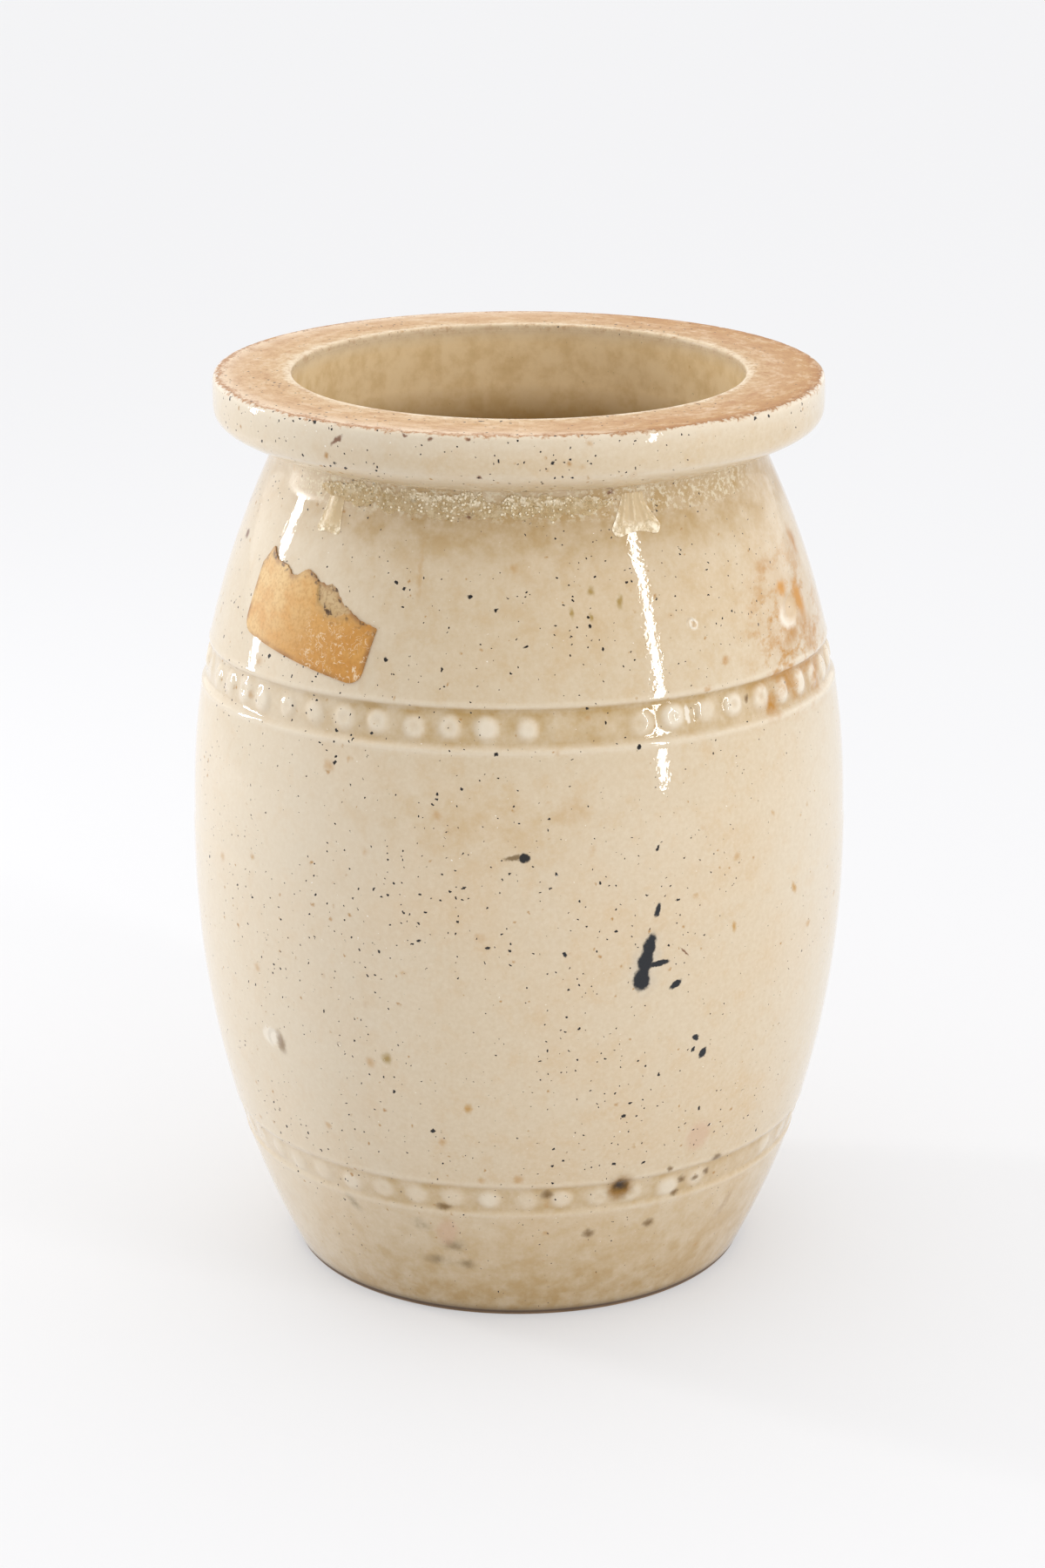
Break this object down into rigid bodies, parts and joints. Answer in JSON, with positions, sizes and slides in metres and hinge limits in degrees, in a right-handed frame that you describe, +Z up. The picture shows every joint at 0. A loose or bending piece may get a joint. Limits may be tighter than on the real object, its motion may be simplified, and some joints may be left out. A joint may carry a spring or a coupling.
{
  "type": "stoneware pot",
  "caption": "Small open barrel-shaped stoneware jar with a cream salt glaze, a wide flat rim over a tie groove, bands of pressed beads, a torn paper label and dried gum.",
  "frame": {"origin": "centre of the foot, on the surface that the pot stands on", "axes": "+Z up along the pot's axis; -Y towards the viewer of the picture; +X to that viewer's right"},
  "size_m": [0.0738, 0.0738, 0.102],
  "materials": {
    "salt_glaze": "glossy cream salt glaze over fired clay, with iron specks",
    "label_paper": "aged tan gummed paper, torn",
    "dried_gum": "dried translucent gum with a dull gloss"
  },
  "bodies": {
    "root": {"stoneware_pot": "salt_glaze", "paper_label": "label_paper", "gum_crust": "dried_gum", "gum_flake_left": "dried_gum", "gum_flake_right": "dried_gum"}
  },
  "joints": []
}
